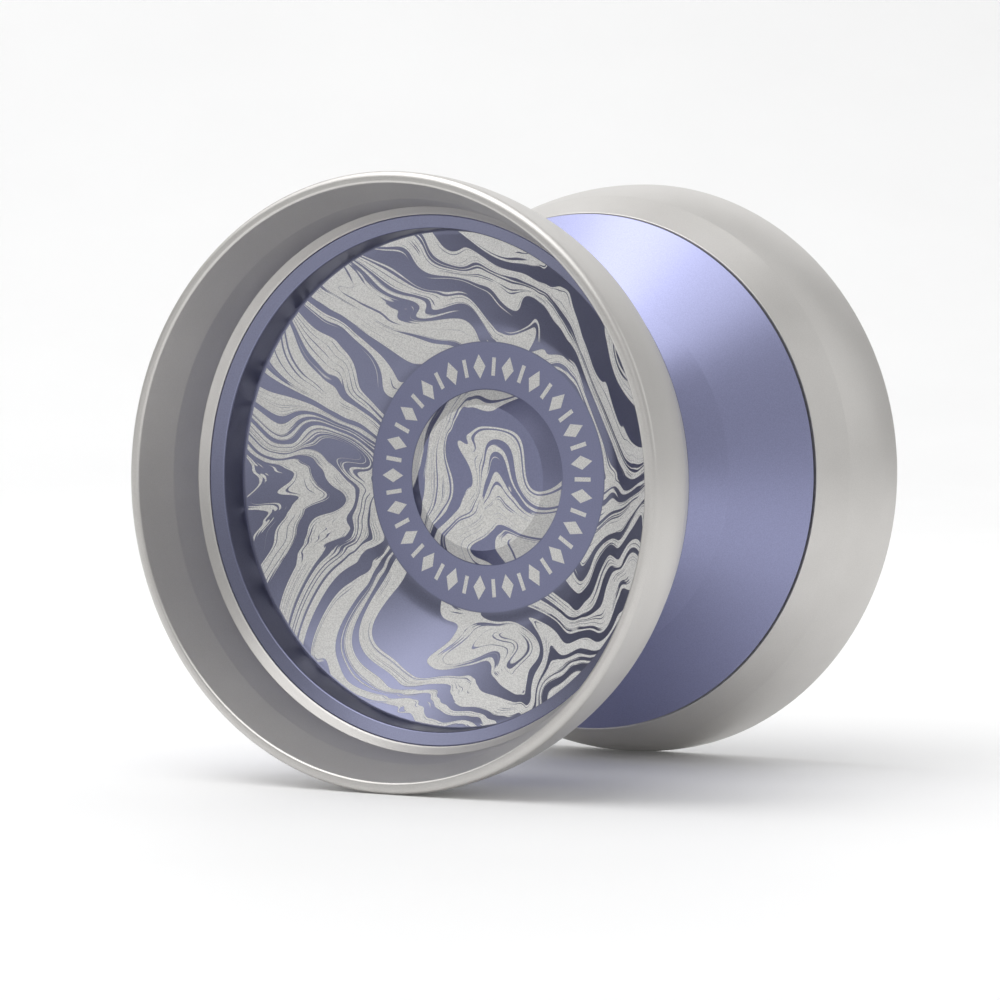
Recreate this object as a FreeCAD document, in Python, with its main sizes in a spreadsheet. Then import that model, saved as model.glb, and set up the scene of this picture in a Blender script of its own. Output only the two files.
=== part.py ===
"""Bi-metal yo-yo: two anodised halves with steel rims, joined by a screw axle through a ball bearing.

Millimetres. +Z is up, the axle lies along Y, and the origin is the middle of the axle.
Every turned piece is drawn as a half-section: sketch X is the radius and sketch Y is the
distance from the middle plane of the yo-yo. Half A is half B turned round to the -Y side.
"""
import FreeCAD, Part
import math
import os
import re
import Sketcher
from FreeCAD import Placement, Rotation, Vector

doc = FreeCAD.newDocument("yo_yo")
sheet = doc.addObject("Spreadsheet::Sheet", "Sizes")

# Driving dimensions. "_r" is a radius from the axle line, "_y" a distance from the middle plane.
SIZES = {
    # string gap, response groove and bearing seat of a half
    "wall_y": 2.3,
    "wall_round_r": 12.2,
    "wall_blend_radius": 2.2,
    "pad_groove_in_r": 7.3,
    "pad_groove_out_r": 9.6,
    "pad_groove_y": 3.4,
    "pad_face_y": 2.42,
    "pad_slack": 0.02,
    "race_recess_r": 6.65,
    "race_recess_y": 2.78,
    "seat_r": 4.05,
    "post_r": 3.16,
    "post_end_y": 0.35,
    "post_chamfer": 0.15,
    # axle and its blind threaded hole
    "axle_hole_r": 2.01,
    "axle_hole_y": 6.2,
    "axle_r": 1.98,
    "axle_half_length": 6.0,
    "axle_chamfer": 0.4,
    "hex_flats": 2.0,
    "hex_depth": 2.2,
    # catch zone: the two cones that the string lands on
    "inner_cone_r": 13.4,
    "inner_cone_y": 3.1,
    "cone_crease_r": 18.4,
    "cone_crease_y": 7.5,
    "cone_end_r": 24.9,
    "cone_end_y": 12.2,
    "edge_break": 0.08,
    # joint between the half and its steel rim
    "rim_seat_r": 24.27,
    "rim_stop_r": 24.55,
    "rim_stop_y": 12.5,
    "joint_break": 0.1,
    # cup side of a half
    "hub_top_r": 6.78,
    "hub_top_y": 7.16,
    "hub_foot_r": 8.25,
    "hub_flat_r": 12.5,
    "hub_flat_y": 6.0,
    "hub_blend_radius": 4.0,
    "dish_start_r": 14.5,
    "dish_start_y": 6.54,
    "dish_radius": 60.0,
    "dish_end_r": 22.7,
    "dish_end_y": 12.25,
    "cup_corner_radius": 0.5,
    "cup_wall_r": 23.0,
    "cup_wall_y": 12.75,
    "lip_edge_y": 15.52,
    "lip_edge_break": 0.14,
    "lip_land_y": 16.2,
    # steel rim
    "rim_start_r": 25.02,
    "rim_crease_r": 26.73,
    "rim_crease_y": 16.1,
    "rim_arc_radius": 23.0,
    "rim_r": 28.0,
    "rim_arc_end_y": 23.43,
    "rim_corner": 0.62,
    "rim_y": 24.05,
    "rim_flat_in_r": 27.13,
    "rim_lip_radius": 0.32,
    "rim_lip_r": 26.88,
    "rim_lip_y": 23.84,
    "cup_bend_r": 25.57,
    "cup_bend_y": 20.2,
    "cup_step_r": 24.97,
    "cup_step_y": 17.05,
    "rim_joint_r": 24.4,
    "rim_joint_y": 16.36,
    # ball bearing, 1/4 x 1/2 x 3/16 inch
    "bearing_bore_r": 3.175,
    "bearing_r": 6.35,
    "bearing_half_width": 2.38,
    "race_break": 0.15,
    "inner_race_r": 4.15,
    "outer_race_in_r": 5.4,
    "ball_pitch_r": 4.7625,
    "ball_r": 0.794,
    "race_groove_radius": 0.815,
    "inner_groove_half": 0.54,
    "outer_groove_half": 0.506,
    "ball_count": 10,
    "shield_seat_r": 5.75,
    "shield_seat_y": 1.7,
    "shield_thickness": 0.2,
    "shield_in_r": 4.25,
    "shield_slack": 0.03,
    "clip_groove_r": 6.0,
    "clip_groove_y": 1.93,
    "clip_groove_width": 0.27,
    "clip_slack": 0.02,
    "clip_in_r": 5.35,
    "clip_angle": 325,
    "cage_in_r": 4.3,
    "cage_out_r": 5.25,
    "cage_depth": 1.25,
    "cage_high_y": 0.35,
    "ball_pocket_r": 0.85,
}
for row, (alias, value) in enumerate(SIZES.items(), start=1):
    sheet.set(f"A{row}", alias)
    sheet.set(f"B{row}", str(value))
    sheet.setAlias(f"B{row}", alias)
doc.recompute()

TURNED_ROUND = Placement(Vector(0, 0, 0), Rotation(Vector(0, 0, 1), 180))
sub_parts = []


def on_sheet(text):
    """The expression for a sum of the sheet's words, such as 'rim_y - rim_corner'."""
    return re.sub(r"[a-z_]+", lambda word: "Sizes." + word.group(), text)


def number(text):
    """What such a sum comes to now."""
    terms = re.findall(r"(-?) ?(\w+)", text)
    sizes = [float(word) if word.isdigit() else float(sheet.get(word)) for _, word in terms]
    return sum(-size if sign else size for (sign, _), size in zip(terms, sizes))


def make_body(name, placement=Placement()):
    body = doc.addObject("PartDesign::Body", name)
    body.Label = name
    body.Placement = placement
    sub_parts.append(body)
    return body


def origin_part(body, role):
    """A plane or an axis of the body's own origin, such as XY_Plane or Y_Axis."""
    return next(item for item in body.Origin.OriginFeatures if item.Role == role)


def arc_middle(start, end, radius, bend):
    """The middle point of an arc that bends to the left (+1) or the right (-1) of its chord."""
    chord = end - start
    sagitta = radius - math.sqrt(radius ** 2 - chord.Length ** 2 / 4)
    to_left = Vector(-chord.y, chord.x, 0).normalize()
    return (start + end) / 2 + to_left * (bend * sagitta)


def draw_outline(sketch, outline):
    """Draws a closed half-section whose corners and arcs are all held by cells of the sheet.

    Each entry is the (radius, distance) of a corner. A third and a fourth value make the edge
    that arrives there an arc: its radius, and +1 or -1 for a bend to the left or the right.
    """
    corners = [Vector(number(entry[0]), number(entry[1]), 0) for entry in outline]
    for index, entry in enumerate(outline):
        start, end = corners[index - 1], corners[index]
        if len(entry) == 2:
            sketch.addGeometry(Part.LineSegment(start, end), False)
            continue
        middle = arc_middle(start, end, number(entry[2]), entry[3])
        first, last = (end, start) if entry[3] > 0 else (start, end)
        sketch.addGeometry(Part.ArcOfCircle(first, middle, last), False)
    rules = []
    for index, entry in enumerate(outline):
        here = end_point(sketch, index, corners[index])
        following = (index + 1) % len(outline)
        there = end_point(sketch, following, corners[index])
        rules.append((Sketcher.Constraint("Coincident", index, here, following, there), None))
        rules.append(held("DistanceX", index, here, entry[0]))
        rules.append(held("DistanceY", index, here, entry[1]))
        if len(entry) > 2:
            rules.append((Sketcher.Constraint("Radius", index, number(entry[2])), entry[2]))
    sketch.addConstraint([rule for rule, text in rules])
    for place, (rule, text) in enumerate(rules):
        if text:
            sketch.setExpression(f"Constraints[{place}]", on_sheet(text))


def end_point(sketch, index, corner):
    """1 or 2, for the end of an edge that lies at the corner."""
    edge = sketch.Geometry[index]
    return 1 if edge.StartPoint.distanceToPoint(corner) < edge.EndPoint.distanceToPoint(corner) else 2


def held(kind, index, end, text):
    """The rule that ties one coordinate of an edge's end to the sheet, or to the axis when it is 0."""
    if text == "0":
        axis = -2 if kind == "DistanceX" else -1
        return Sketcher.Constraint("PointOnObject", index, end, axis), None
    return Sketcher.Constraint(kind, -1, 1, index, end, number(text)), text


def add_sketch(body, name, role):
    sketch = body.newObject("Sketcher::SketchObject", name)
    sketch.AttachmentSupport = [(origin_part(body, role), "")]
    sketch.MapMode = "FlatFace"
    return sketch


def turned(name, outline, placement=Placement(), angle=None):
    """A piece turned on a lathe: the outline swept round the axle line."""
    body = make_body(name, placement)
    sketch = add_sketch(body, name + "_section", "XY_Plane")
    draw_outline(sketch, outline)
    sweep = body.newObject("PartDesign::Revolution", name + "_turning")
    sweep.Profile = sketch
    sweep.ReferenceAxis = (sketch, ["V_Axis"])
    sweep.Angle = 360
    if angle:
        sweep.setExpression("Angle", on_sheet(angle))
    doc.recompute()
    return body


def mirrored_pair(outline, name, angle=None):
    """The same piece on half A (-Y side) and on half B (+Y side)."""
    turned(name + "_a", outline, TURNED_ROUND, angle)
    turned(name + "_b", outline, Placement(), angle)


def make_half_bodies():
    """Aluminium half: thin dished wall, hub with the blind axle hole, catch zone outside."""
    cup_side = [
        ("0", "hub_top_y"),
        ("hub_top_r", "hub_top_y"),
        ("hub_foot_r", "hub_flat_y"),
        ("hub_flat_r", "hub_flat_y"),
        ("dish_start_r", "dish_start_y", "hub_blend_radius", -1),
        ("dish_end_r", "dish_end_y", "dish_radius", -1),
        ("cup_wall_r", "cup_wall_y", "cup_corner_radius", -1),
        ("cup_wall_r", "lip_edge_y"),
        ("cup_wall_r + lip_edge_break", "lip_edge_y + lip_edge_break"),
        ("rim_seat_r - joint_break", "lip_land_y"),
        ("rim_seat_r", "lip_land_y - joint_break"),
    ]
    rim_stop = [
        ("rim_seat_r", "rim_stop_y"),
        ("rim_stop_r", "rim_stop_y"),
        ("rim_stop_r", "cone_end_y"),
    ]
    catch_zone = [
        ("cone_end_r - edge_break", "cone_end_y"),
        ("cone_end_r", "cone_end_y - edge_break"),
        ("cone_crease_r", "cone_crease_y"),
        ("inner_cone_r", "inner_cone_y"),
        ("wall_round_r", "wall_y", "wall_blend_radius", 1),
    ]
    bearing_side = [
        ("pad_groove_out_r", "wall_y"),
        ("pad_groove_out_r", "pad_groove_y"),
        ("pad_groove_in_r", "pad_groove_y"),
        ("pad_groove_in_r", "wall_y"),
        ("race_recess_r", "wall_y"),
        ("race_recess_r", "race_recess_y"),
        ("seat_r", "race_recess_y"),
        ("seat_r", "bearing_half_width"),
        ("post_r", "bearing_half_width"),
        ("post_r", "post_end_y + post_chamfer"),
        ("post_r - post_chamfer", "post_end_y"),
        ("axle_hole_r", "post_end_y"),
        ("axle_hole_r", "axle_hole_y"),
        ("0", "axle_hole_y"),
    ]
    mirrored_pair(cup_side + rim_stop + catch_zone + bearing_side, "half_body")


def make_rim_rings():
    """Steel ring pressed over the half: convex outside, stepped cup side, rounded lip."""
    outline = [
        ("rim_seat_r", "rim_stop_y"),
        ("rim_start_r - edge_break", "rim_stop_y"),
        ("rim_start_r", "rim_stop_y + edge_break"),
        ("rim_crease_r", "rim_crease_y"),
        ("rim_r", "rim_arc_end_y", "rim_arc_radius", -1),
        ("rim_r - rim_corner", "rim_y", "rim_corner", 1),
        ("rim_flat_in_r", "rim_y"),
        ("rim_lip_r", "rim_lip_y", "rim_lip_radius", 1),
        ("cup_bend_r", "cup_bend_y"),
        ("cup_step_r", "cup_step_y"),
        ("rim_joint_r", "rim_joint_y"),
        ("rim_seat_r", "rim_joint_y - rim_joint_r + rim_seat_r"),
    ]
    mirrored_pair(outline, "rim_ring")


def make_response_pads():
    """Flat silicone rings that lie just below the walls of the string gap."""
    outline = [
        ("pad_groove_in_r + pad_slack", "pad_face_y"),
        ("pad_groove_out_r - pad_slack", "pad_face_y"),
        ("pad_groove_out_r - pad_slack", "pad_groove_y"),
        ("pad_groove_in_r + pad_slack", "pad_groove_y"),
    ]
    mirrored_pair(outline, "response_pad")


def make_axle():
    """Headless screw with a hexagon socket in its +Y end."""
    outline = [
        ("0", "axle_half_length"),
        ("axle_r - axle_chamfer", "axle_half_length"),
        ("axle_r", "axle_half_length - axle_chamfer"),
        ("axle_r", "axle_chamfer - axle_half_length"),
        ("axle_r - axle_chamfer", "0 - axle_half_length"),
        ("0", "0 - axle_half_length"),
    ]
    body = turned("axle", outline)
    before = body.Shape.Volume
    sketch = add_sketch(body, "axle_socket_outline", "XZ_Plane")
    corner = number("hex_flats") / math.sqrt(3)
    for index in range(6):
        ends = [Vector(corner, 0, 0), Vector(corner, 0, 0)]
        for step, point in enumerate(ends):
            turn = math.radians(60 * (index + step))
            ends[step] = Vector(corner * math.cos(turn), corner * math.sin(turn), 0)
        sketch.addGeometry(Part.LineSegment(*ends), False)
    circle = sketch.addGeometry(Part.Circle(Vector(0, 0, 0), Vector(0, 0, 1), corner), True)
    sketch.addConstraint(Sketcher.Constraint("Coincident", circle, 3, -1, 1))
    for index in range(6):
        sketch.addConstraint(Sketcher.Constraint("Coincident", index, 2, (index + 1) % 6, 1))
        sketch.addConstraint(Sketcher.Constraint("PointOnObject", index, 1, circle))
    for index in range(5):
        sketch.addConstraint(Sketcher.Constraint("Equal", index, index + 1))
    sketch.addConstraint(Sketcher.Constraint("PointOnObject", 0, 1, -1))
    radius = sketch.addConstraint(Sketcher.Constraint("Radius", circle, corner))
    sketch.setExpression(f"Constraints[{radius}]", "Sizes.hex_flats / sqrt(3)")
    sketch.setExpression(".AttachmentOffset.Base.z", "-Sizes.axle_half_length")
    doc.recompute()
    socket = body.newObject("PartDesign::Pocket", "axle_socket")
    socket.Profile = sketch
    socket.setExpression("Length", "Sizes.hex_depth")
    socket.Reversed = True
    doc.recompute()
    if body.Shape.Volume >= before:
        raise RuntimeError("the hexagon socket cuts nothing")


def make_bearing_races():
    """Inner and outer race, each with its ball groove; the outer one is open for the shields."""
    inner_outline = [
        ("bearing_bore_r + race_break", "0 - bearing_half_width"),
        ("inner_race_r - race_break", "0 - bearing_half_width"),
        ("inner_race_r", "race_break - bearing_half_width"),
        ("inner_race_r", "0 - inner_groove_half"),
        ("inner_race_r", "inner_groove_half", "race_groove_radius", 1),
        ("inner_race_r", "bearing_half_width - race_break"),
        ("inner_race_r - race_break", "bearing_half_width"),
        ("bearing_bore_r + race_break", "bearing_half_width"),
        ("bearing_bore_r", "bearing_half_width - race_break"),
        ("bearing_bore_r", "race_break - bearing_half_width"),
    ]
    turned("bearing_inner_race", inner_outline)
    upper_end = [
        ("outer_race_in_r", "outer_groove_half", "race_groove_radius", -1),
        ("outer_race_in_r", "shield_seat_y"),
        ("shield_seat_r", "shield_seat_y"),
        ("shield_seat_r", "clip_groove_y"),
        ("clip_groove_r", "clip_groove_y"),
        ("clip_groove_r", "clip_groove_y + clip_groove_width"),
        ("shield_seat_r", "clip_groove_y + clip_groove_width"),
        ("shield_seat_r", "bearing_half_width"),
        ("bearing_r - race_break", "bearing_half_width"),
        ("bearing_r", "bearing_half_width - race_break"),
    ]
    lower_end = [
        ("bearing_r", "race_break - bearing_half_width"),
        ("bearing_r - race_break", "0 - bearing_half_width"),
        ("shield_seat_r", "0 - bearing_half_width"),
        ("shield_seat_r", "0 - clip_groove_y - clip_groove_width"),
        ("clip_groove_r", "0 - clip_groove_y - clip_groove_width"),
        ("clip_groove_r", "0 - clip_groove_y"),
        ("shield_seat_r", "0 - clip_groove_y"),
        ("shield_seat_r", "0 - shield_seat_y"),
        ("outer_race_in_r", "0 - shield_seat_y"),
        ("outer_race_in_r", "0 - outer_groove_half"),
    ]
    turned("bearing_outer_race", upper_end + lower_end)


def make_shields_and_clips():
    """Sheet-steel covers of the bearing, each held in by an open spring ring."""
    shield_outline = [
        ("shield_in_r", "shield_seat_y + shield_slack"),
        ("shield_seat_r - shield_slack", "shield_seat_y + shield_slack"),
        ("shield_seat_r - shield_slack", "shield_seat_y + shield_thickness"),
        ("shield_in_r", "shield_seat_y + shield_thickness"),
    ]
    mirrored_pair(shield_outline, "bearing_shield")
    clip_outline = [
        ("clip_in_r", "clip_groove_y + clip_slack"),
        ("clip_groove_r - clip_slack", "clip_groove_y + clip_slack"),
        ("clip_groove_r - clip_slack", "clip_groove_y + clip_groove_width - clip_slack"),
        ("clip_in_r", "clip_groove_y + clip_groove_width - clip_slack"),
    ]
    mirrored_pair(clip_outline, "snap_ring", "clip_angle")


def make_cage():
    """Crown-shaped retainer: a ring with one open ball pocket for each ball."""
    outline = [
        ("cage_in_r", "0 - cage_depth"),
        ("cage_out_r", "0 - cage_depth"),
        ("cage_out_r", "cage_high_y"),
        ("cage_in_r", "cage_high_y"),
    ]
    body = turned("bearing_cage", outline)
    before = body.Shape.Volume
    pocket = body.newObject("PartDesign::SubtractiveSphere", "ball_pocket")
    pocket.setExpression("Radius", "Sizes.ball_pocket_r")
    pocket.setExpression(".AttachmentOffset.Base.x", "Sizes.ball_pitch_r")
    pocket.AttachmentSupport = [(origin_part(body, "XY_Plane"), "")]
    pocket.MapMode = "FlatFace"
    doc.recompute()
    pockets = body.newObject("PartDesign::PolarPattern", "ball_pockets")
    pockets.Originals = [pocket]
    pockets.Axis = (origin_part(body, "Y_Axis"), [""])
    pockets.Angle = 360
    pockets.setExpression("Occurrences", "Sizes.ball_count")
    body.Tip = pockets
    doc.recompute()
    if body.Shape.Volume >= before:
        raise RuntimeError("the ball pockets cut nothing")


def make_balls():
    """Balls evenly spaced on the pitch circle, one in each pocket of the cage."""
    for index in range(int(number("ball_count"))):
        name = f"bearing_ball_{index + 1:02d}"
        ball = doc.addObject("Part::Sphere", name)
        ball.Label = name
        ball.setExpression("Radius", "Sizes.ball_r")
        turn = f"{index} * 360 deg / Sizes.ball_count"
        ball.setExpression(".Placement.Base.x", f"Sizes.ball_pitch_r * cos({turn})")
        ball.setExpression(".Placement.Base.z", f"-Sizes.ball_pitch_r * sin({turn})")
        sub_parts.append(ball)
    doc.recompute()


def check_document():
    for item in doc.Objects:
        if "Invalid" in item.State or "Error" in item.State:
            raise RuntimeError(f"{item.Label} failed: {item.State}")
    for piece in sub_parts:
        if piece.Shape.isNull() or not piece.Shape.isValid() or len(piece.Shape.Solids) != 1:
            raise RuntimeError(f"{piece.Label} isn't one valid solid")


make_half_bodies()
make_rim_rings()
make_response_pads()
make_axle()
make_bearing_races()
make_shields_and_clips()
make_cage()
make_balls()
doc.recompute()
check_document()

os.makedirs("parts", exist_ok=True)
for piece in sub_parts:
    piece.Shape.exportStep(f"parts/{piece.Label}.step")
    box = piece.Shape.BoundBox
    print(f"{piece.Label:22s} {piece.Shape.Volume:9.2f} mm3   y {box.YMin:7.2f} to {box.YMax:7.2f}")
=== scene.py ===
"""A bi-metal yo-yo: anodised halves with marbled etching, steel rims, a ball bearing inside.

Metres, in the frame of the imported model: +Z up, the axle along Y, the origin at its middle.
Turned pieces are lathe meshes. Their outlines are (radius, distance from the middle plane,
corner rounding) in millimetres, and half A is half B turned round to the -Y side.
"""

import math

import bpy
from mathutils import Matrix, Vector


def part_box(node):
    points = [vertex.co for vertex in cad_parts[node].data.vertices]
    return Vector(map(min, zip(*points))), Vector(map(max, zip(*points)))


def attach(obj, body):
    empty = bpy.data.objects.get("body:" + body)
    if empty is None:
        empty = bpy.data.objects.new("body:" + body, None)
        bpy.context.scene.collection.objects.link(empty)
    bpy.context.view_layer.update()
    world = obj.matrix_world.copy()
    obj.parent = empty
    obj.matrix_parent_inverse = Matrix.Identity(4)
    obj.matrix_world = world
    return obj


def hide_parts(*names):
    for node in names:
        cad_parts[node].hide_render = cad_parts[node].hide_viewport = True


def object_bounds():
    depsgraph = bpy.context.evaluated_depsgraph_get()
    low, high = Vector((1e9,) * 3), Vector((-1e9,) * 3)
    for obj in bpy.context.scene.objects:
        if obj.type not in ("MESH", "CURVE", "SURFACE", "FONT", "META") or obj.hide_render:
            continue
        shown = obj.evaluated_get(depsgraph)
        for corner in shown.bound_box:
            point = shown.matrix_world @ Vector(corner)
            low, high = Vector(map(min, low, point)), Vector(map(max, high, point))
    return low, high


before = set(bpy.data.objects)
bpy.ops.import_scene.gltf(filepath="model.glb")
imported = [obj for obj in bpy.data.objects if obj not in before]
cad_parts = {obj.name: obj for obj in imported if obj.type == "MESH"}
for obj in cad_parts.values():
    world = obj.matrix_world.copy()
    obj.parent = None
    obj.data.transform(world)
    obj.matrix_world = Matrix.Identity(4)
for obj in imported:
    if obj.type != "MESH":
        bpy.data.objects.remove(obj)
cad_low, cad_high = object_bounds()

MM = 0.001
MANY_SIDES = 288
FEW_SIDES = 144
ROUNDING_STEPS = 4
TURNED_ROUND = Matrix.Rotation(math.pi, 4, "Z")
AS_DRAWN = Matrix.Identity(4)
SIDES = {"a": TURNED_ROUND, "b": AS_DRAWN}


# ------------------------------------------------------------ sizes in millimetres

def reach(node, axis):
    """How far a CAD node goes from the origin along +X, +Y or +Z."""
    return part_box(node)[1]["xyz".index(axis)] / MM


RIM_R = reach("rim_ring_b", "x")
RIM_Y = reach("rim_ring_b", "y")
LAND_Y = reach("half_body_b", "y")
BEARING_R = reach("bearing_outer_race", "x")
BEARING_Y = reach("bearing_outer_race", "y")
AXLE_R = reach("axle", "x")
AXLE_Y = reach("axle", "y")
PAD_FACE_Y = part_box("response_pad_b")[0].y / MM
PAD_FLOOR_Y = reach("response_pad_b", "y")
PAD_R = reach("response_pad_b", "x")

# Corners inside the boxes of the frame: _R is a radius, _Y a distance from the middle plane.
NOSE_R, NOSE_Y = 6.78, 7.16
HUB_FOOT_R, HUB_FLAT_R, HUB_FLAT_Y = 8.25, 12.5, 6.0
DISH_IN_R, DISH_IN_Y = 14.5, 6.54
DISH_OUT_R, DISH_OUT_Y = 22.7, 12.25
CUP_R, CUP_CORNER_Y, CUP_EDGE_Y = 23.0, 12.75, 15.6
JOINT_R, JOINT_LAND_R = 24.27, 24.17
STOP_R, STOP_Y, STOP_EDGE_Y = 24.55, 12.5, 12.2
CATCH_R, CATCH_Y = 24.9, 12.12
CREASE_R, CREASE_Y = 18.4, 7.5
INNER_CONE_R, INNER_CONE_Y = 13.4, 3.1
GAP_R, GAP_Y = 12.2, 2.3
GROOVE_IN_R, GROOVE_OUT_R, GROOVE_Y = 7.3, 9.6, 3.4
RECESS_R, RECESS_Y = 6.65, 2.78
SEAT_R, POST_R, POST_Y = 4.05, 3.16, 0.35
HOLE_R, HOLE_Y = 2.01, 6.2

RIM_START_R = 25.02
RIM_CREASE_R, RIM_CREASE_Y = 26.73, 16.1
RIM_BELT_Y = 23.43
RIM_LIP_R = 26.956
RIM_BEND_R, RIM_BEND_Y = 25.57, 20.2
RIM_STEP_R, RIM_STEP_Y = 24.97, 17.05
RIM_FOOT_R, RIM_FOOT_Y = 24.4, 16.36

PAD_IN_R = 7.32
BORE_R, INNER_RACE_R, OUTER_RACE_R = 3.175, 4.15, 5.4
SHIELD_SEAT_R, SHIELD_SEAT_Y = 5.75, 1.7
CLIP_GROOVE_R, CLIP_GROOVE_Y, CLIP_GROOVE_END_Y = 6.0, 1.93, 2.2
CLIP_SWEEP = math.radians(325)

THREAD_PITCH, THREAD_DEPTH = 0.7, 0.43
POINT_TAPER = 0.45
SOCKET_R, SOCKET_DEPTH = 1.0, 2.1

# The etching ends just inside this radius, and the bare wall of the cup begins just outside it.
DISH_R = 22.95


# ------------------------------------------------------------ lathe

def bow(start, end, height, steps=12):
    """Points of a shallow arc between two corners. It stands height to the left of the chord."""
    start, end = Vector(start), Vector(end)
    chord = end - start
    left = Vector((-chord.y, chord.x)).normalized()
    radius = (chord.length ** 2 / 4 + height ** 2) / (2 * abs(height))
    half = math.asin(chord.length / 2 / radius)
    points = []
    for step in range(1, steps):
        angle = half * (2 * step / steps - 1)
        rise = radius * (math.cos(angle) - math.cos(half)) * math.copysign(1, height)
        point = (start + end) / 2 + chord.normalized() * (radius * math.sin(angle)) + left * rise
        points.append((point.x, point.y, None))
    return points


def rounded(outline, closed):
    """[(point, direction of travel)] along an outline whose corners are rounded off."""
    spots = [Vector(entry[:2]) for entry in outline]
    count = len(outline)
    path = []
    for index, entry in enumerate(outline):
        here = spots[index]
        before = (here - spots[index - 1]).normalized()
        after = (spots[(index + 1) % count] - here).normalized()
        if not closed and index == 0:
            path.append((here, after))
        elif not closed and index == count - 1:
            path.append((here, before))
        elif not entry[2]:
            path.append((here, (before + after).normalized()))
        else:
            path += corner_arc(here, before, after, entry[2])
    return path


def corner_arc(corner, before, after, radius):
    turn = math.atan2(before.x * after.y - before.y * after.x, before.dot(after))
    trim = radius * math.tan(abs(turn) / 2)
    start = corner - before * trim
    side = Vector((-before.y, before.x)) * math.copysign(1, turn)
    arc = []
    for step in range(ROUNDING_STEPS + 1):
        angle = abs(turn) * step / ROUNDING_STEPS
        point = start + before * (radius * math.sin(angle)) + side * (radius * (1 - math.cos(angle)))
        arc.append((point, before * math.cos(angle) + side * math.sin(angle)))
    return arc


def add_mesh(name, verts, faces, normals=None):
    mesh = bpy.data.meshes.new(name)
    mesh.from_pydata(verts, [], faces)
    mesh.shade_smooth()
    if normals:
        mesh.normals_split_custom_set_from_vertices(normals)
    piece = bpy.data.objects.new(name, mesh)
    bpy.context.scene.collection.objects.link(piece)
    return piece


def counter_clockwise(outline):
    area = sum(outline[index - 1][0] * outline[index][1] - outline[index][0] * outline[index - 1][1]
               for index in range(len(outline)))
    return outline if area > 0 else outline[::-1]


def lathe(name, outline, place=AS_DRAWN, sides=MANY_SIDES, closed=True, sweep=2 * math.pi):
    """Sweeps an outline, a list of (radius, distance, rounding), round the axle line.

    An outline that isn't closed starts and ends on the axle line.
    """
    path = rounded(counter_clockwise(outline), closed)
    poles = [] if closed else [path[0], path[-1]]
    rows = path if closed else path[1:-1]
    whole = sweep > 2 * math.pi - 1e-6
    rings = sides if whole else sides + 1
    count = len(rows)
    turn = place.to_3x3()
    verts, normals, faces = [], [], []
    for ring in range(rings):
        angle = sweep * ring / sides
        out = Vector((math.cos(angle), 0, -math.sin(angle)))
        for point, direction in rows:
            verts.append(place @ ((out * point.x + Vector((0, point.y, 0))) * MM))
            normals.append(turn @ (out * direction.y - Vector((0, direction.x, 0))))
    for ring in range(sides):
        near, far = ring * count, (ring + 1) % rings * count
        for index in range(count if closed else count - 1):
            following = (index + 1) % count
            faces.append((near + index, far + index, far + following, near + following))
    for end, (point, direction) in enumerate(poles):
        verts.append(place @ Vector((0, point.y * MM, 0)))
        normals.append(turn @ Vector((0, 1 if end else -1, 0)))
        row = end * (count - 1)
        for ring in range(sides):
            near, far = ring * count + row, (ring + 1) % rings * count + row
            pole = len(verts) - 1
            faces.append((near, far, pole) if end else (far, near, pole))
    if not whole:
        faces.append(tuple(range(count)))
        faces.append(tuple(reversed(range(sides * count, (sides + 1) * count))))
    return add_mesh(name, verts, faces, normals)


# ------------------------------------------------------------ material nodes

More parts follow.
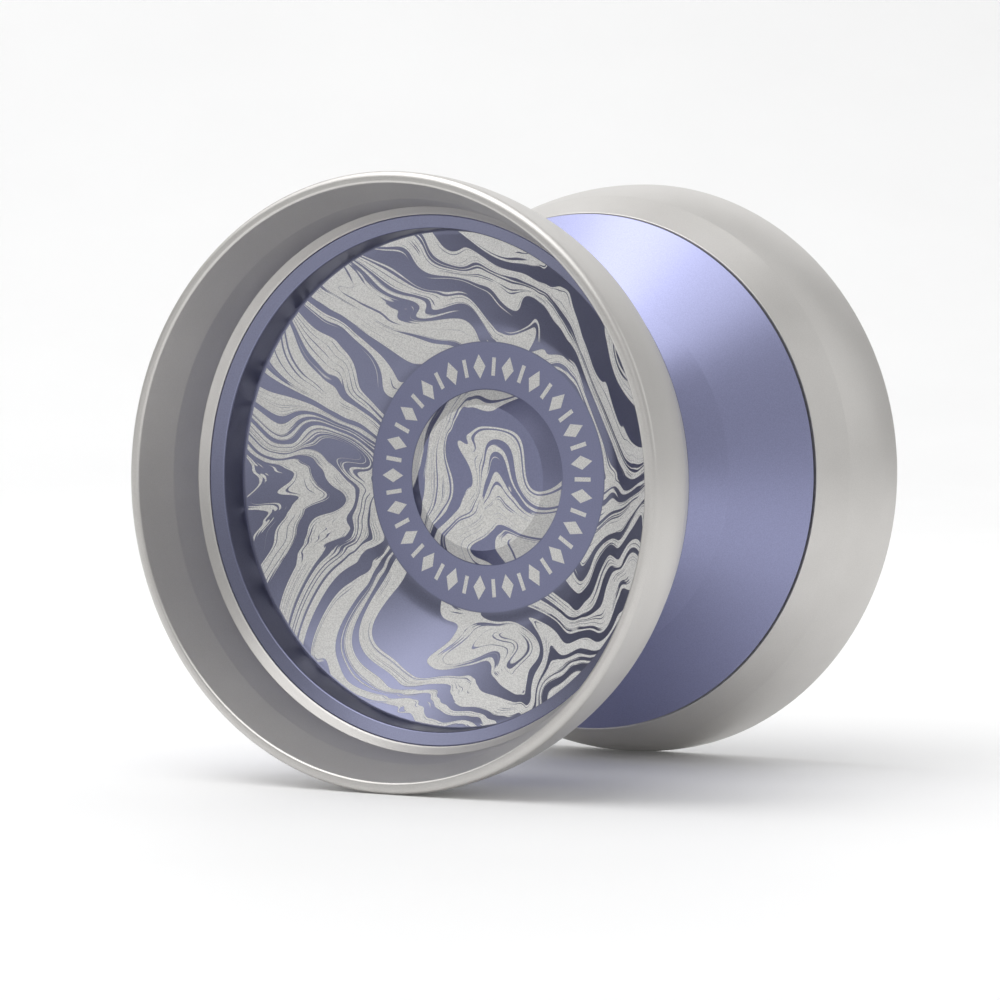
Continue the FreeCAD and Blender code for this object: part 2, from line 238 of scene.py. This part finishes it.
class Net:
    """The node tree of one material, with short calls for the nodes that are used most."""

    def __init__(self, name):
        self.material = bpy.data.materials.new(name)
        self.material.use_nodes = True
        self.tree = self.material.node_tree
        self.tree.nodes.clear()
        output = self.tree.nodes.new("ShaderNodeOutputMaterial")
        self.shader = self.tree.nodes.new("ShaderNodeBsdfPrincipled")
        self.tree.links.new(self.shader.outputs[0], output.inputs["Surface"])
        self.place = self.add("ShaderNodeTexCoord").outputs["Object"]

    def add(self, kind, *values, **settings):
        """A node whose inputs, in order, are set to numbers or linked to sockets. None leaves one."""
        node = self.tree.nodes.new(kind)
        for key, value in settings.items():
            setattr(node, key, value)
        for socket, value in zip(node.inputs, values):
            self.put(socket, value)
        return node

    def put(self, socket, value):
        if value is None:
            return
        if isinstance(value, bpy.types.NodeSocket):
            self.tree.links.new(value, socket)
        else:
            socket.default_value = value

    def set(self, **values):
        for key, value in values.items():
            self.put(self.shader.inputs[key.replace("_", " ")], value)

    def calc(self, operation, *values):
        return self.add("ShaderNodeMath", *values, operation=operation).outputs[0]

    def vector(self, operation, *values):
        node = self.add("ShaderNodeVectorMath", *values, operation=operation)
        return node.outputs["Value" if operation in ("LENGTH", "DOT_PRODUCT") else "Vector"]

    def scaled(self, vector, amount):
        node = self.add("ShaderNodeVectorMath", vector, operation="SCALE")
        self.put(node.inputs["Scale"], amount)
        return node.outputs[0]

    def noise(self, vector, scale, detail=2.0, colour=False, roughness=0.5):
        node = self.add("ShaderNodeTexNoise")
        values = {"Vector": vector, "Scale": scale, "Detail": detail, "Roughness": roughness}
        for key, value in values.items():
            self.put(node.inputs[key], value)
        return node.outputs["Color" if colour else "Fac"]

    def step(self, value, low, high, to_low=0.0, to_high=1.0):
        """Rises smoothly from to_low to to_high as value goes from low to high."""
        node = self.add("ShaderNodeMapRange", value, low, high, to_low, to_high)
        node.interpolation_type = "SMOOTHSTEP"
        return node.outputs[0]

    def mix(self, share, first, second, how="MIX"):
        node = self.add("ShaderNodeMix", data_type="RGBA", blend_type=how)
        self.put(node.inputs["Factor"], share)
        self.put(node.inputs[6], first)
        self.put(node.inputs[7], second)
        return node.outputs[2]

    def blend(self, share, first, second):
        node = self.add("ShaderNodeMix", share, None, first, second, data_type="FLOAT")
        return node.outputs[0]

    def bump(self, height, distance, strength=1.0):
        node = self.add("ShaderNodeBump")
        for key, value in (("Strength", strength), ("Distance", distance), ("Height", height)):
            self.put(node.inputs[key], value)
        return node.outputs[0]


def grey(value):
    return (value, value, value, 1.0)


# ------------------------------------------------------------ materials

ANODISED = (0.32, 0.335, 0.52, 1.0)
ANODISED_DEEP = (0.275, 0.285, 0.445, 1.0)
# Painted shade: multiplied into the anodised colour on the cup side, where the cup shades it.
CUP_PAINTED_SHADE = (0.64, 0.64, 0.585, 1.0)
ETCHED = (0.90, 0.895, 0.87, 1.0)
ETCHED_DARK = (0.68, 0.675, 0.655, 1.0)
STEEL = (0.66, 0.645, 0.625, 1.0)
STEEL_DEEP = (0.59, 0.575, 0.555, 1.0)
SILICONE = (0.84, 0.84, 0.82, 1.0)
SILICONE_DEEP = (0.70, 0.70, 0.68, 1.0)
GROUND_STEEL = (0.66, 0.66, 0.67, 1.0)
PRESSED_STEEL = (0.58, 0.58, 0.59, 1.0)
RETAINER_STEEL = (0.52, 0.47, 0.40, 1.0)
OILED_STEEL = (0.30, 0.30, 0.31, 1.0)

# Marks on the hub, in millimetres: lozenges and bars in turn, on a circle of radius MARK_R.
MARK_PAIRS = 21
MARK_R = 10.35
LOZENGE_HALF_WIDTH, LOZENGE_HALF_HEIGHT = 0.66, 1.15
BAR_HALF_WIDTH, BAR_HALF_HEIGHT = 0.2, 0.85

# Marbling, in millimetres: how large each stir is, how far it drags the ink, and its place in the noise.
STIRS = (
    (13.0, 7.5, (151.0, -31.0, 15.5)),
    (6.0, 3.6, (177.0, -57.0, 28.5)),
    (2.4, 0.6, (131.0, -11.0, 5.5)),
)
INK_START = 120.0
HOOK_START = 7.0
HOOK = 0.07
NOSE_FOCUS = (6.0, -7.0, 0.0)
NOSE_EDGE = (9.6, 10.2)


def marbling(net, u, v):
    """0 to 1 over a plane in millimetres: flowing bands like stirred ink, 1 where it is etched.

    The bands lie along a falling diagonal that hooks upward at its lower right and stands
    upright at the far left; on the nose of the hub they curve round a point. The stirs then
    drag the whole plane about before the bands are read from it.
    """
    flat = net.add("ShaderNodeCombineXYZ", u, v, 0.0).outputs[0]
    point = flat
    for size, drag, start in STIRS:
        moved = net.vector("ADD", point, start)
        drift = net.vector("SUBTRACT", net.noise(moved, 1 / size, detail=0.0, colour=True), (0.5, 0.5, 0.5))
        point = net.vector("MULTIPLY_ADD", drift, (2 * drag, 2 * drag, 0.0), point)
    across = net.vector("DOT_PRODUCT", point, (0.7071, 0.7071, 0.0))
    along = net.vector("DOT_PRODUCT", point, (0.7071, -0.7071, 0.0))
    past = net.calc("MAXIMUM", net.calc("SUBTRACT", along, HOOK_START), 0.0)
    hooked = net.calc("MULTIPLY_ADD", net.calc("MULTIPLY", past, past), -HOOK, across)
    outer = net.calc("MULTIPLY_ADD", along, net.step(across, -12.0, -5.0, 0.8, 0.0), hooked)
    around = net.vector("LENGTH", net.vector("SUBTRACT", point, NOSE_FOCUS))
    radius = net.vector("LENGTH", flat)
    level = net.blend(net.step(radius, *NOSE_EDGE), around, outer)

    def levels(scale, detail, start):
        node = net.add("ShaderNodeTexNoise", noise_dimensions="1D")
        for key, value in (("W", net.calc("ADD", level, start)), ("Scale", scale), ("Detail", detail)):
            net.put(node.inputs[key], value)
        return net.calc("SUBTRACT", node.outputs["Fac"], 0.5)

    wide = levels(0.45, 0.0, INK_START + 3.7)
    thin = net.calc("MULTIPLY", levels(2.0, 1.0, INK_START + 41.3), 0.42)
    uneven = net.calc("MULTIPLY", net.calc("SUBTRACT", net.noise(point, 1 / 7.0, detail=1.0), 0.5), 0.3)
    ink = net.calc("ADD", net.calc("ADD", wide, thin), uneven)
    fuller = net.step(radius, *NOSE_EDGE, 0.05, 0.0)
    bands = net.step(net.calc("ADD", ink, fuller), -0.021, -0.009)
    # Hairlines run with the bands and break off here and there.
    off_line = net.calc("ABSOLUTE", levels(1.3, 0.0, INK_START + 77.0))
    hair = net.step(net.noise(point, 1 / 3.0, detail=2.0), 0.42, 0.6, 0.0, 0.024)
    return net.calc("MULTIPLY", bands, net.step(net.calc("SUBTRACT", off_line, hair), -0.004, 0.004))


def spread(net):
    """The place on the piece in millimetres: x, y, z and the distance from the axle line."""
    place = net.scaled(net.place, 1 / MM)
    split = net.add("ShaderNodeSeparateXYZ", place)
    x, y, z = split.outputs
    radius = net.calc("SQRT", net.calc("ADD", net.calc("MULTIPLY", x, x), net.calc("MULTIPLY", z, z)))
    return place, x, y, z, radius


def turned_grain(net, place, y, radius):
    """Height of the very fine rings that a lathe tool leaves."""
    rings = net.add("ShaderNodeCombineXYZ", net.calc("MULTIPLY", radius, 9.0),
                    net.calc("MULTIPLY", y, 9.0), 0.0).outputs[0]
    return net.noise(rings, 1.0, detail=3.0)


def anodised_half(name):
    """Satin anodised aluminium, laser-etched on the cup side with a marbled pattern and hub marks."""
    net = Net(name)
    place, x, y, z, radius = spread(net)
    side = net.calc("SIGN", y)
    across = net.calc("MULTIPLY", x, net.calc("MULTIPLY", side, -1.0))
    normal = net.add("ShaderNodeSeparateXYZ", net.add("ShaderNodeTexCoord").outputs["Normal"])
    facing = net.calc("MULTIPLY", normal.outputs[1], side)
    cup_side = net.step(facing, 0.12, 0.16)

    pattern = marbling(net, across, z)
    dish = net.calc("MULTIPLY", net.step(radius, HUB_FLAT_R + 0.15, HUB_FLAT_R + 0.22),
                    net.step(radius, DISH_R - 0.2, DISH_R - 0.12, 1.0, 0.0))
    nose = net.step(radius, HUB_FOOT_R - 0.12, HUB_FOOT_R - 0.05, 1.0, 0.0)
    zone = net.calc("MAXIMUM", dish, nose)
    swirls = net.calc("MULTIPLY", pattern, zone)

    turn = net.calc("DIVIDE", net.calc("ARCTAN2", z, across), 2 * math.pi / MARK_PAIRS)
    rise = net.calc("ABSOLUTE", net.calc("SUBTRACT", radius, MARK_R))

    def sideways(shift):
        """How far round the ring, in millimetres, the nearest mark of this kind is."""
        share = net.calc("FRACT", net.calc("ADD", turn, shift))
        share = net.calc("ABSOLUTE", net.calc("SUBTRACT", share, 0.5))
        return net.calc("MULTIPLY", net.calc("MULTIPLY", share, radius), 2 * math.pi / MARK_PAIRS)

    lozenge = net.calc("ADD", net.calc("DIVIDE", sideways(0.0), LOZENGE_HALF_WIDTH),
                       net.calc("DIVIDE", rise, LOZENGE_HALF_HEIGHT))
    bar = net.calc("MAXIMUM", net.calc("DIVIDE", sideways(0.5), BAR_HALF_WIDTH),
                   net.calc("DIVIDE", rise, BAR_HALF_HEIGHT))
    marks = net.step(net.calc("MINIMUM", lozenge, bar), 0.96, 1.04, 1.0, 0.0)
    etched = net.calc("MULTIPLY", net.calc("MAXIMUM", swirls, marks), cup_side)

    grains = net.noise(place, 9.0, detail=3.0, roughness=0.7)
    speckle = net.noise(place, 8.0, detail=2.0)
    rings = turned_grain(net, place, y, radius)
    colour = net.mix(net.step(grains, 0.3, 0.7), ANODISED_DEEP, ANODISED)

    # Painted shade on the dish side and the cup's bare wall; sparing the wall's rounded edge paints a
    # highlight there.
    beyond = net.step(net.calc("MULTIPLY", y, side), CUP_CORNER_Y - 0.35, CUP_CORNER_Y - 0.05)
    wall = net.calc("MULTIPLY", beyond, net.step(radius, DISH_R + 0.1, DISH_R + 0.2, 1.0, 0.0))
    dish_side = net.calc("MULTIPLY", cup_side, net.step(radius, HUB_FLAT_R, HUB_FLAT_R + 0.2, 0.5, 1.0))
    edge = net.calc("MULTIPLY", net.calc("MULTIPLY", beyond, net.step(facing, 0.8, 0.87, 1.0, 0.0)),
                    net.step(facing, 0.12, 0.3))
    dish_side = net.calc("MULTIPLY", dish_side, net.step(edge, 0.0, 1.0, 1.0, 0.0))
    painted_cup_shade = net.calc("MAXIMUM", dish_side, wall)
    colour = net.mix(painted_cup_shade, colour, CUP_PAINTED_SHADE, "MULTIPLY")
    burnt = net.mix(net.step(speckle, 0.3, 0.7), ETCHED_DARK, ETCHED)
    net.set(Base_Color=net.mix(etched, colour, burnt),
            Metallic=net.blend(etched, 1.0, 0.25),
            Roughness=net.blend(etched, net.step(grains, 0.2, 0.8, 0.30, 0.37), 0.62))
    height = net.calc("MULTIPLY_ADD", rings, 0.15, net.calc("MULTIPLY", grains, 0.55))
    sunk = net.calc("MULTIPLY_ADD", etched, -1.6, height)
    net.put(net.shader.inputs["Normal"], net.bump(sunk, 0.012 * MM, 0.6))
    return net.material


def blasted_steel(name):
    """Bead-blasted stainless steel over fine turning marks."""
    net = Net(name)
    place, x, y, z, radius = spread(net)
    grains = net.noise(place, 11.0, detail=3.0, roughness=0.75)
    clouds = net.noise(place, 0.25, detail=1.0)
    rings = turned_grain(net, place, y, radius)
    shade = net.calc("MULTIPLY_ADD", grains, 0.8, net.calc("MULTIPLY", clouds, 0.2))
    net.set(Base_Color=net.mix(net.step(shade, 0.3, 0.7), STEEL_DEEP, STEEL),
            Metallic=1.0,
            Roughness=net.step(grains, 0.2, 0.8, 0.36, 0.46))
    height = net.calc("MULTIPLY_ADD", rings, 0.3, grains)
    net.put(net.shader.inputs["Normal"], net.bump(height, 0.012 * MM, 0.5))
    return net.material


def plain_metal(name, colour, roughness):
    """Ground or pressed metal: faint rings and clouds of smudged oil."""
    net = Net(name)
    place, x, y, z, radius = spread(net)
    rings = turned_grain(net, place, y, radius)
    smudges = net.noise(place, 0.9, detail=3.0)
    darker = tuple(part * 0.86 for part in colour[:3]) + (1.0,)
    net.set(Base_Color=net.mix(net.step(smudges, 0.3, 0.7), darker, colour),
            Metallic=1.0,
            Roughness=net.step(smudges, 0.3, 0.75, roughness * 0.8, roughness * 1.35))
    net.put(net.shader.inputs["Normal"], net.bump(rings, 0.004 * MM, 0.6))
    return net.material


def silicone(name):
    """Slightly translucent matt rubber with a faint moulded grain and dust."""
    net = Net(name)
    place, x, y, z, radius = spread(net)
    grain = net.noise(place, 6.0, detail=4.0, roughness=0.65)
    net.set(Base_Color=net.mix(net.step(grain, 0.3, 0.7), SILICONE_DEEP, SILICONE),
            Roughness=net.step(grain, 0.3, 0.7, 0.55, 0.7))
    net.shader.inputs["Subsurface Weight"].default_value = 0.15
    net.shader.inputs["Subsurface Radius"].default_value = (1.2 * MM, 1.2 * MM, 1.2 * MM)
    net.shader.inputs["Subsurface Scale"].default_value = 1.0
    net.put(net.shader.inputs["Normal"], net.bump(grain, 0.02 * MM, 0.6))
    return net.material


def dress(piece, material, body, *nodes):
    """Gives a new piece its material, its CAD body and the CAD nodes that it stands for."""
    piece.data.materials.clear()
    piece.data.materials.append(material)
    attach(piece, body)
    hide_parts(*nodes)
    return piece


# ------------------------------------------------------------ pieces

def half_outline():
    """From the middle of the hub out over the cup side, and back along the catch zone."""
    cup_side = [
        (0.0, NOSE_Y, None), (NOSE_R, NOSE_Y, 0.10), (HUB_FOOT_R, HUB_FLAT_Y, 0.08),
        (HUB_FLAT_R, HUB_FLAT_Y, None),
        *bow((HUB_FLAT_R, HUB_FLAT_Y), (DISH_IN_R, DISH_IN_Y), -0.1365, 8),
        (DISH_IN_R, DISH_IN_Y, None),
        *bow((DISH_IN_R, DISH_IN_Y), (DISH_OUT_R, DISH_OUT_Y), -0.208, 24),
        (DISH_OUT_R, DISH_OUT_Y, None),
        *bow((DISH_OUT_R, DISH_OUT_Y), (CUP_R, CUP_CORNER_Y), -0.094, 6),
        (CUP_R, CUP_CORNER_Y, None), (CUP_R, CUP_EDGE_Y, 0.27),
        (JOINT_LAND_R, LAND_Y, 0.04), (JOINT_R, LAND_Y - 0.1, 0.04),
    ]
    rim_stop = [(JOINT_R, STOP_Y, 0.04), (STOP_R, STOP_Y, 0.04), (STOP_R, STOP_EDGE_Y, 0.04)]
    catch_zone = [
        (CATCH_R - 0.08, STOP_EDGE_Y, 0.03), (CATCH_R, CATCH_Y, 0.05), (CREASE_R, CREASE_Y, 1.2),
        (INNER_CONE_R, INNER_CONE_Y, None),
        *bow((INNER_CONE_R, INNER_CONE_Y), (GAP_R, GAP_Y), 0.1215, 8), (GAP_R, GAP_Y, None),
    ]
    bearing_side = [
        (GROOVE_OUT_R, GAP_Y, 0.06), (GROOVE_OUT_R, GROOVE_Y, 0.04),
        (GROOVE_IN_R, GROOVE_Y, 0.04), (GROOVE_IN_R, GAP_Y, 0.06),
        (RECESS_R, GAP_Y, 0.05), (RECESS_R, RECESS_Y, 0.05), (SEAT_R, RECESS_Y, 0.05),
        (SEAT_R, BEARING_Y, 0.04), (POST_R, BEARING_Y, 0.04),
        (POST_R, POST_Y + 0.15, 0.06), (POST_R - 0.15, POST_Y, 0.05),
        (HOLE_R, POST_Y, 0.05), (HOLE_R, HOLE_Y, 0.05), (0.0, HOLE_Y, None),
    ]
    return cup_side + rim_stop + catch_zone + bearing_side


def rim_outline():
    """Outside of the rim from the joint to the lip, then back down the cup side."""
    return [
        (JOINT_R, STOP_Y, 0.04), (RIM_START_R, STOP_Y, 0.09), (RIM_CREASE_R, RIM_CREASE_Y, 0.8),
        *bow((RIM_CREASE_R, RIM_CREASE_Y), (RIM_R, RIM_BELT_Y), -0.30, 20),
        (RIM_R, RIM_BELT_Y - 0.02, None), (RIM_R, RIM_Y, 0.62), (RIM_LIP_R, RIM_Y, 0.30),
        (RIM_BEND_R, RIM_BEND_Y, 1.5), (RIM_STEP_R, RIM_STEP_Y, 0.25),
        (RIM_FOOT_R, RIM_FOOT_Y, 0.03), (JOINT_R, RIM_FOOT_Y - 0.13, 0.04),
    ]


def pad_outline():
    return [(PAD_IN_R, PAD_FACE_Y, 0.12), (PAD_R, PAD_FACE_Y, 0.12),
            (PAD_R, PAD_FLOOR_Y, 0.05), (PAD_IN_R, PAD_FLOOR_Y, 0.05)]


def ball_groove(radius, half, height):
    """A race's ball groove, from its low edge to its high edge."""
    return [(radius, -half, None), *bow((radius, -half), (radius, half), height, 10), (radius, half, None)]


def inner_race_outline():
    end = BEARING_Y
    return [(BORE_R, -end, 0.15), (INNER_RACE_R, -end, 0.12), *ball_groove(INNER_RACE_R, 0.54, 0.2),
            (INNER_RACE_R, end, 0.12), (BORE_R, end, 0.15)]


def outer_race_outline():
    end, seat, groove = BEARING_Y, SHIELD_SEAT_R, CLIP_GROOVE_R
    upper = [(OUTER_RACE_R, SHIELD_SEAT_Y, 0.03), (seat, SHIELD_SEAT_Y, 0.03),
             (seat, CLIP_GROOVE_Y, 0.02), (groove, CLIP_GROOVE_Y, 0.02),
             (groove, CLIP_GROOVE_END_Y, 0.02), (seat, CLIP_GROOVE_END_Y, 0.02), (seat, end, 0.04)]
    lower = [(radius, -y, rounding) for radius, y, rounding in reversed(upper)]
    return [*ball_groove(OUTER_RACE_R, 0.506, -0.178), *upper,
            (BEARING_R, end, 0.18), (BEARING_R, -end, 0.18), *lower]


def ring_outline(inner, outer, near, far, inner_rounding):
    """A flat ring between two radii and two distances from the middle plane."""
    return [(inner, near, inner_rounding), (outer, near, 0.05),
            (outer, far, 0.05), (inner, far, inner_rounding)]


def shield_outline():
    return ring_outline(4.25, SHIELD_SEAT_R - 0.03, SHIELD_SEAT_Y + 0.03, 1.9, 0.03)


def clip_outline():
    return ring_outline(5.35, CLIP_GROOVE_R - 0.02, CLIP_GROOVE_Y + 0.02, CLIP_GROOVE_END_Y - 0.02, 0.05)


def join_loops(faces, low, high, sides):
    """Adds the quads between two loops of points that start at the indices low and high."""
    for side in range(sides):
        following = (side + 1) % sides
        faces.append((low + side, low + following, high + following, high + side))


def make_axle(material):
    """Screw with a real helical thread and a hexagon socket in its +Y end."""
    root = AXLE_R - THREAD_DEPTH
    per_pitch, sides = 10, 64
    rows = int(2 * AXLE_Y / THREAD_PITCH * per_pitch)
    verts, faces = [], []
    for row in range(rows + 1):
        y = -AXLE_Y + 2 * AXLE_Y * row / rows
        taper = AXLE_R - max(0.0, abs(y) - (AXLE_Y - POINT_TAPER))
        for side in range(sides):
            angle = 2 * math.pi * side / sides
            phase = (y / THREAD_PITCH - side / sides) % 1.0
            crest = min(1.0, 1.25 * (1 - abs(2 * phase - 1)))
            radius = min(taper, root + (AXLE_R - root) * crest)
            verts.append(Vector((radius * math.cos(angle), y, -radius * math.sin(angle))) * MM)
    for row in range(rows):
        join_loops(faces, row * sides, (row + 1) * sides, sides)
    faces.append(tuple(reversed(range(sides))))

    rim = rows * sides
    for depth in (0.0, SOCKET_DEPTH):
        for side in range(sides):
            angle = 2 * math.pi * side / sides
            radius = SOCKET_R / math.cos((angle + math.pi / 6) % (math.pi / 3) - math.pi / 6)
            verts.append(Vector((radius * math.cos(angle), AXLE_Y - depth, -radius * math.sin(angle))) * MM)
    mouth, floor = rim + sides, rim + 2 * sides
    join_loops(faces, rim, mouth, sides)
    join_loops(faces, mouth, floor, sides)
    faces.append(tuple(range(floor, floor + sides)))
    axle = add_mesh("axle_screw", verts, faces)
    axle.data.set_sharp_from_angle(angle=math.radians(35))
    return dress(axle, material, "half_a", "axle")


def make_halves():
    aluminium = anodised_half("anodised_and_etched")
    steel = blasted_steel("blasted_steel")
    rubber = silicone("response_silicone")
    for side, place in SIDES.items():
        body = f"half_{side}"
        half = lathe(f"half_shell_{side}", half_outline(), place, closed=False)
        dress(half, aluminium, body, f"half_body_{side}")
        rim = lathe(f"steel_rim_{side}", rim_outline(), place)
        dress(rim, steel, body, f"rim_ring_{side}")
        pad = lathe(f"silicone_pad_{side}", pad_outline(), place, FEW_SIDES)
        dress(pad, rubber, body, f"response_pad_{side}")


def make_bearing():
    ground = plain_metal("ground_bearing_steel", GROUND_STEEL, 0.16)
    pressed = plain_metal("pressed_sheet_steel", PRESSED_STEEL, 0.30)
    retainer = plain_metal("retainer_steel", RETAINER_STEEL, 0.34)
    oiled = plain_metal("oiled_axle_steel", OILED_STEEL, 0.34)
    inner = lathe("inner_race", inner_race_outline(), sides=FEW_SIDES)
    dress(inner, ground, "bearing_core", "bearing_inner_race")
    outer = lathe("outer_race", outer_race_outline(), sides=FEW_SIDES)
    dress(outer, ground, "bearing_shell", "bearing_outer_race")
    for side, place in SIDES.items():
        shield = lathe(f"shield_{side}", shield_outline(), place, FEW_SIDES)
        dress(shield, pressed, "bearing_shell", f"bearing_shield_{side}")
        clip = lathe(f"clip_{side}", clip_outline(), place, FEW_SIDES, sweep=CLIP_SWEEP)
        dress(clip, pressed, "bearing_shell", f"snap_ring_{side}")
    make_axle(oiled)
    paint_node("bearing_cage", retainer)
    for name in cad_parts:
        if name.startswith("bearing_ball"):
            paint_node(name, ground)


def paint_node(name, material):
    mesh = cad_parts[name].data
    mesh.materials.clear()
    mesh.materials.append(material)


# ------------------------------------------------------------ stage, lights, camera

FLOOR_Z = cad_low.z
VIEW_AZIMUTH = math.radians(31.18)
VIEW_ELEVATION = math.radians(2.38)
VIEW_DISTANCE = 412.5 * MM
VIEW_RIGHT = 1.851 * MM
VIEW_UP = 2.324 * MM
LENS = 157.36
# Painted light: the paper's faint glow, which lifts the shadows on the floor.
PAPER_GLOW = 0.04
WORLD_GLOW = 0.51


def make_stage():
    """A pale floor that curves up into a pale wall. The paper glows faintly: painted light that lifts the
    shadows on it.
    """
    net = Net("paper")
    grain = net.noise(net.scaled(net.place, 1 / MM), 0.02, detail=3.0)
    net.set(Base_Color=net.mix(grain, grey(0.86), grey(0.9)), Roughness=0.55, Emission_Strength=PAPER_GLOW)
    net.shader.inputs["Emission Color"].default_value = grey(1.0)
    net.shader.inputs["Specular IOR Level"].default_value = 0.2
    half_width, front, back, bend, top = 2.4, -2.4, 1.1, 0.6, 2.6
    curve = [(front, 0.0), (back - bend, 0.0)]
    for step in range(1, 13):
        angle = math.pi / 2 * step / 12
        curve.append((back - bend + bend * math.sin(angle), bend * (1 - math.cos(angle))))
    curve.append((back, top))
    verts, faces = [], []
    forward = Vector((-math.sin(VIEW_AZIMUTH), math.cos(VIEW_AZIMUTH), 0))
    right = Vector((math.cos(VIEW_AZIMUTH), math.sin(VIEW_AZIMUTH), 0))
    for along, up in curve:
        for across in (-half_width, half_width):
            verts.append(forward * along + right * across + Vector((0, 0, FLOOR_Z + up)))
    for row in range(len(curve) - 1):
        faces.append((2 * row, 2 * row + 1, 2 * row + 3, 2 * row + 2))
    paper = add_mesh("paper_sweep", verts, faces)
    paper.data.materials.append(net.material)


def away(sideways, onward, up):
    """A point of the set: so far to the camera's right, past the yo-yo and up from its middle."""
    across = Vector((math.cos(VIEW_AZIMUTH), math.sin(VIEW_AZIMUTH), 0))
    forward = Vector((-math.sin(VIEW_AZIMUTH), math.cos(VIEW_AZIMUTH), 0))
    return across * sideways + forward * onward + Vector((0, 0, up))


def add_light(name, azimuth, elevation, distance, size, power, aim=(0, 0, 0)):
    """A soft rectangular light. Azimuth 0 is the camera's side of the yo-yo, 90 is to its right."""
    light = bpy.data.lights.new(name, "AREA")
    light.shape = "RECTANGLE"
    light.size, light.size_y = size
    light.energy = power
    turn, rise = math.radians(azimuth), math.radians(elevation)
    flat = distance * math.cos(rise)
    lamp = bpy.data.objects.new(name, light)
    lamp.location = away(flat * math.sin(turn), -flat * math.cos(turn), distance * math.sin(rise))
    lamp.rotation_mode = "QUATERNION"
    lamp.rotation_quaternion = (lamp.location - away(*aim)).to_track_quat("Z", "Y")
    bpy.context.scene.collection.objects.link(lamp)


def make_lights():
    add_light("top_softbox", -30, 70, 0.8, (0.8, 0.8), 3.1)
    add_light("upper_left_softbox", -95, 54, 1.0, (1.1, 1.0), 4.1)
    add_light("right_softbox", 85, 25, 0.9, (0.7, 0.7), 0.8)
    add_light("front_softbox", 4, 18, 1.0, (0.9, 0.8), 0.42)
    add_light("back_softbox", 168, 38, 0.9, (0.9, 0.5), 0.55)
    add_light("wall_wash", 180, 75, 0.9, (1.6, 0.4), 2.2, aim=(0, 1.2, 0.1))
    world = bpy.data.worlds.new("studio")
    world.use_nodes = True
    world.node_tree.nodes["Background"].inputs["Color"].default_value = grey(0.8)
    world.node_tree.nodes["Background"].inputs["Strength"].default_value = WORLD_GLOW
    bpy.context.scene.world = world


def make_camera():
    azimuth, elevation = VIEW_AZIMUTH, VIEW_ELEVATION
    right = Vector((math.cos(azimuth), math.sin(azimuth), 0))
    forward = Vector((-math.sin(azimuth) * math.cos(elevation), math.cos(azimuth) * math.cos(elevation),
                      -math.sin(elevation)))
    up = right.cross(forward)
    data = bpy.data.cameras.new("camera")
    data.sensor_width = 36.0
    data.lens = LENS
    data.clip_start = 0.01
    data.clip_end = 20.0
    camera = bpy.data.objects.new("camera", data)
    camera.location = -(right * VIEW_RIGHT + up * VIEW_UP + forward * VIEW_DISTANCE)
    camera.rotation_mode = "QUATERNION"
    camera.rotation_quaternion = forward.to_track_quat("-Z", "Y")
    bpy.context.scene.collection.objects.link(camera)
    bpy.context.scene.camera = camera


make_halves()
make_bearing()
make_stage()
make_lights()
make_camera()
bpy.context.scene.view_settings.view_transform = "Standard"
